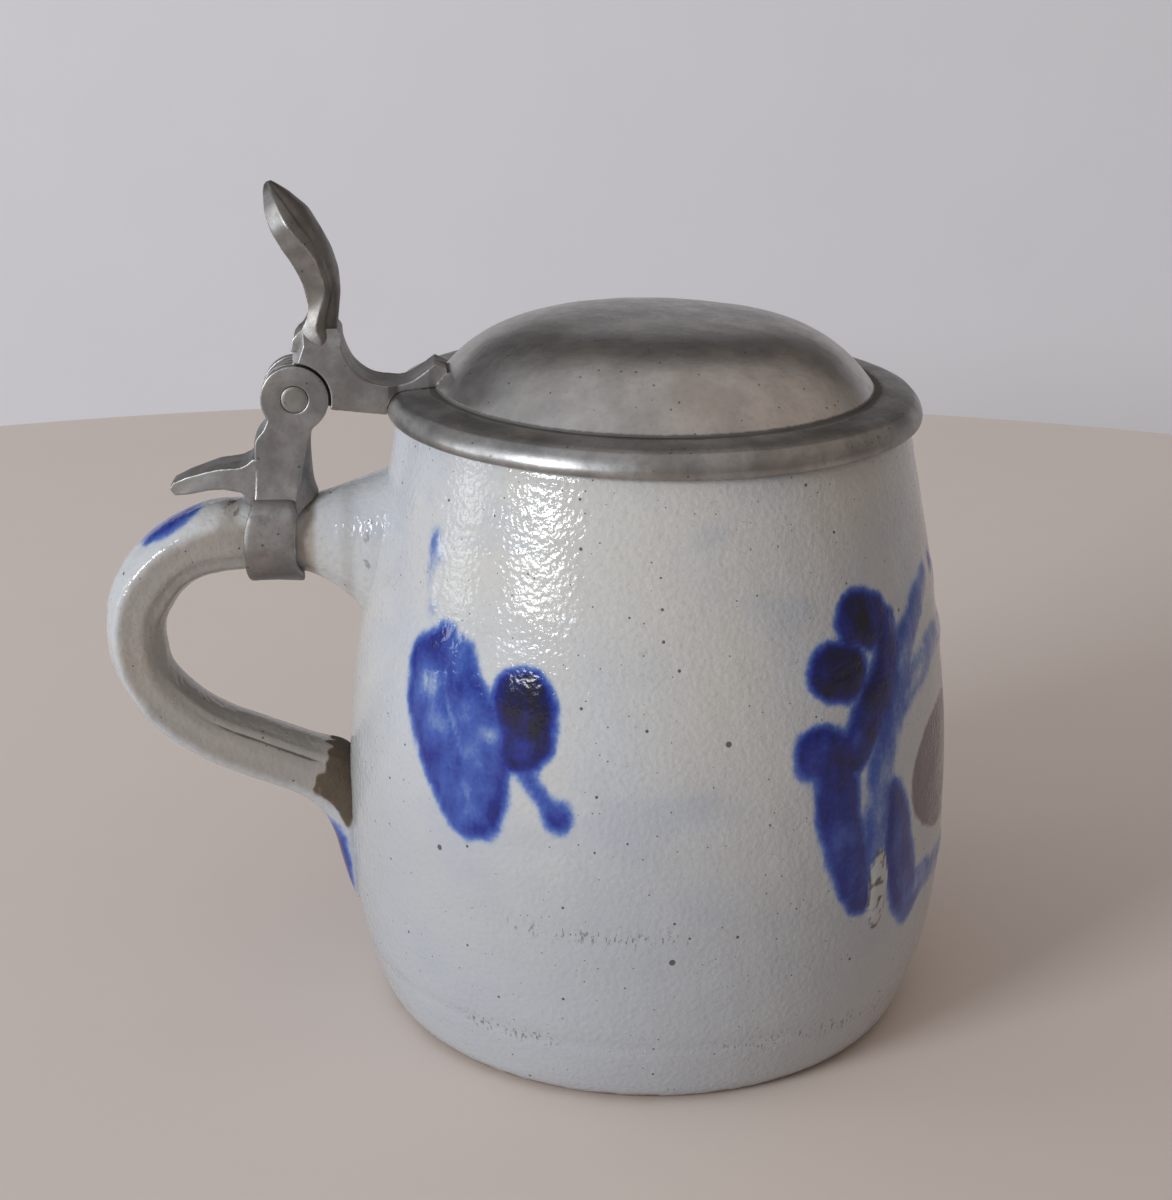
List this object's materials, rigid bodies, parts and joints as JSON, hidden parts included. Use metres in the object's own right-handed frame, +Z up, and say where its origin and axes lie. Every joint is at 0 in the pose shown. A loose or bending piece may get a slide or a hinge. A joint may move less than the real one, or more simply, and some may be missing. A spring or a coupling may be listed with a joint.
{
  "type": "beer stein",
  "caption": "Bellied salt-glazed stoneware mug with a loop handle and a hinged domed pewter lid with a leaf thumblift.",
  "frame": {"origin": "centre of the flat base that the mug stands on", "axes": "+Z up, out of the mouth; -X towards the handle and hinge; the hinge pin lies along Y"},
  "size_m": [0.147, 0.106, 0.1452],
  "materials": {
    "stoneware": "salt glaze",
    "pewter": "dull cast pewter",
    "pewter_lid": "spun pewter"
  },
  "bodies": {
    "mug": {"stoneware_body": "stoneware", "stoneware_handle": "stoneware", "handle_band": "pewter", "hinge_post": "pewter", "rear_tang": "pewter", "hinge_pin": "pewter"},
    "lid": {"lid_shank": "pewter", "thumblift": "pewter", "lid_rim": "pewter_lid", "lid_dome": "pewter_lid"}
  },
  "joints": [
    {"name": "lid_hinge", "type": "hinge", "parent": "mug", "child": "lid", "pos_m": [-0.0603, 0, 0.1097], "axis": [0, -1, 0], "range_deg": [0, 118]}
  ]
}
